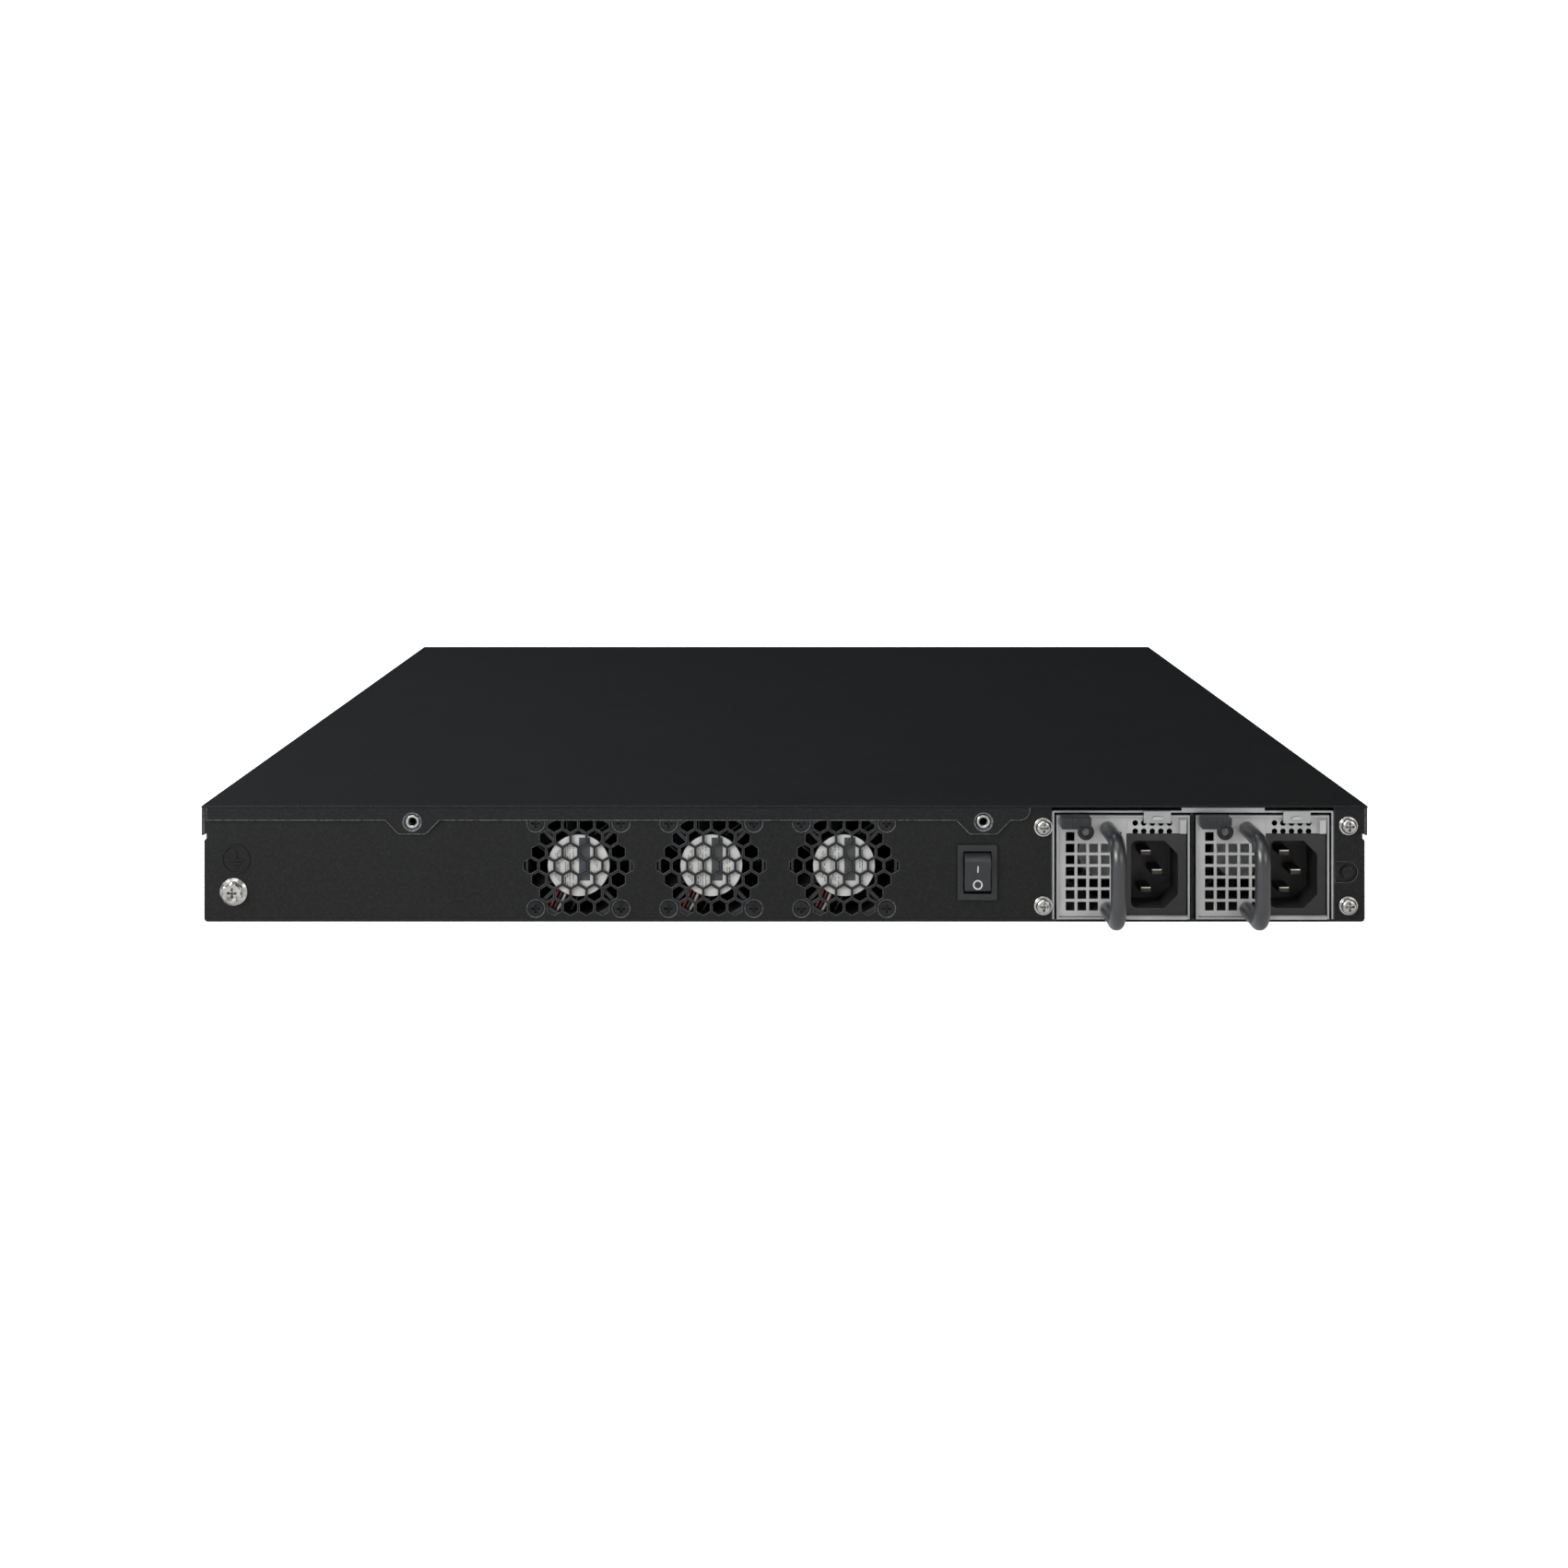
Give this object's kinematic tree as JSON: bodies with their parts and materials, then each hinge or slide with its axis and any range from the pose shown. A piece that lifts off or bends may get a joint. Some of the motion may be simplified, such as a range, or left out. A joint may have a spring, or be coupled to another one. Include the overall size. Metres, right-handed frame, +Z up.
{
  "type": "rackmount network switch",
  "caption": "One rack-unit network switch in a black sheet-steel case, with rear fans, a rocker switch and pull-out power supplies.",
  "frame": {"origin": "centre of the chassis' flat bottom face", "axes": "+Z up; +Y towards the port side; -Y is the side with fans, rocker switch and power supplies; +X to the right of someone facing the power-supply side"},
  "size_m": [0.438, 0.5316, 0.044],
  "materials": {
    "powder_coat_black": "fine-textured black powder coat",
    "zinc_plated_steel": "satin zinc-plated sheet",
    "nickel_screw": "bright nickel-plated steel",
    "black_screw": "black oxide steel",
    "brass_nickel": "nickel-plated brass",
    "fan_black_pbt": "moulded black glass-filled PBT",
    "handle_rubber": "black PVC dipped handle",
    "switch_nylon": "moulded black nylon",
    "inlet_nylon": "moulded black nylon",
    "latch_nylon": "moulded black nylon",
    "lamp_plastic": "black bezel with a clear grey lens",
    "clear_acrylic": "clear light pipe",
    "fr4_green": "green solder mask",
    "chip_epoxy": "black mould compound",
    "sink_aluminium": "extruded, clear anodised",
    "capacitor_can": "sleeved aluminium can",
    "connector_nylon": "natural nylon",
    "wire_pvc": "PVC insulation",
    "port_shield": "nickel-plated stamped shield"
  },
  "bodies": {
    "chassis": {"backplane_sockets": "connector_nylon", "board_capacitors": "capacitor_can", "board_chips": "chip_epoxy", "board_headers": "connector_nylon", "board_screws": "nickel_screw", "board_standoffs": "brass_nickel", "case_screws": "black_screw", "chassis_base": "powder_coat_black", "clinch_nuts": "brass_nickel", "console_port": "port_shield", "cover_inserts": "nickel_screw", "fan_1_frame": "fan_black_pbt", "fan_2_frame": "fan_black_pbt", "fan_3_frame": "fan_black_pbt", "fan_leads": "wire_pvc", "fan_screws": "black_screw", "front_panel": "powder_coat_black", "ground_screw": "nickel_screw", "locating_stud": "latch_nylon", "main_board": "fr4_green", "memory_module": "connector_nylon", "power_harness": "wire_pvc", "processor_heatsink": "sink_aluminium", "psu_backplane": "fr4_green", "psu_cage": "zinc_plated_steel", "psu_cage_divider": "powder_coat_black", "psu_cage_screws": "nickel_screw", "rear_panel": "powder_coat_black", "rj45_block_left": "port_shield", "rj45_block_right": "port_shield", "rocker_housing": "switch_nylon", "rocker_terminals": "brass_nickel", "sfp_cages": "port_shield", "status_light_pipes": "clear_acrylic", "switch_heatsink": "sink_aluminium", "top_cover": "powder_coat_black"},
    "fan_1": {"fan_1_rotor": "fan_black_pbt"},
    "fan_2": {"fan_2_rotor": "fan_black_pbt"},
    "fan_3": {"fan_3_rotor": "fan_black_pbt"},
    "psu_a": {"psu_a_board": "fr4_green", "psu_a_case": "zinc_plated_steel", "psu_a_faceplate": "zinc_plated_steel", "psu_a_fan_frame": "fan_black_pbt", "psu_a_handle": "handle_rubber", "psu_a_inlet": "inlet_nylon", "psu_a_inlet_pins": "brass_nickel", "psu_a_lamp": "lamp_plastic"},
    "psu_a_fan": {"psu_a_fan_rotor": "fan_black_pbt"},
    "psu_a_latch": {"psu_a_latch": "latch_nylon"},
    "psu_b": {"psu_b_board": "fr4_green", "psu_b_case": "zinc_plated_steel", "psu_b_faceplate": "zinc_plated_steel", "psu_b_fan_frame": "fan_black_pbt", "psu_b_handle": "handle_rubber", "psu_b_inlet": "inlet_nylon", "psu_b_inlet_pins": "brass_nickel", "psu_b_lamp": "lamp_plastic"},
    "psu_b_fan": {"psu_b_fan_rotor": "fan_black_pbt"},
    "psu_b_latch": {"psu_b_latch": "latch_nylon"},
    "rocker": {"rocker_button": "switch_nylon"}
  },
  "joints": [
    {"name": "fan_1_spin", "type": "hinge", "parent": "chassis", "child": "fan_1", "pos_m": [-0.0774, -0.235, 0.021], "axis": [0, 1, 0], "continuous": true},
    {"name": "fan_2_spin", "type": "hinge", "parent": "chassis", "child": "fan_2", "pos_m": [-0.0275, -0.235, 0.021], "axis": [0, 1, 0], "continuous": true},
    {"name": "fan_3_spin", "type": "hinge", "parent": "chassis", "child": "fan_3", "pos_m": [0.0224, -0.235, 0.021], "axis": [0, 1, 0], "continuous": true},
    {"name": "rocker_tilt", "type": "hinge", "parent": "chassis", "child": "rocker", "pos_m": [0.0724, -0.249, 0.01875], "axis": [-1, 0, 0], "range_deg": [0, 20]},
    {"name": "psu_a_slide", "type": "slide", "parent": "chassis", "child": "psu_a", "axis": [0, -1, 0], "range_m": [0, 0.184]},
    {"name": "psu_a_latch_press", "type": "slide", "parent": "psu_a", "child": "psu_a_latch", "axis": [1, 0, 0], "range_m": [0, 0.002], "stiffness_N_per_m": 400},
    {"name": "psu_a_fan_spin", "type": "hinge", "parent": "psu_a", "child": "psu_a_fan", "pos_m": [0.1233, -0.215, 0.0207], "axis": [0, 1, 0], "continuous": true},
    {"name": "psu_b_slide", "type": "slide", "parent": "chassis", "child": "psu_b", "axis": [0, -1, 0], "range_m": [0, 0.184]},
    {"name": "psu_b_latch_press", "type": "slide", "parent": "psu_b", "child": "psu_b_latch", "axis": [1, 0, 0], "range_m": [0, 0.002], "stiffness_N_per_m": 400},
    {"name": "psu_b_fan_spin", "type": "hinge", "parent": "psu_b", "child": "psu_b_fan", "pos_m": [0.1756, -0.215, 0.0207], "axis": [0, 1, 0], "continuous": true}
  ]
}
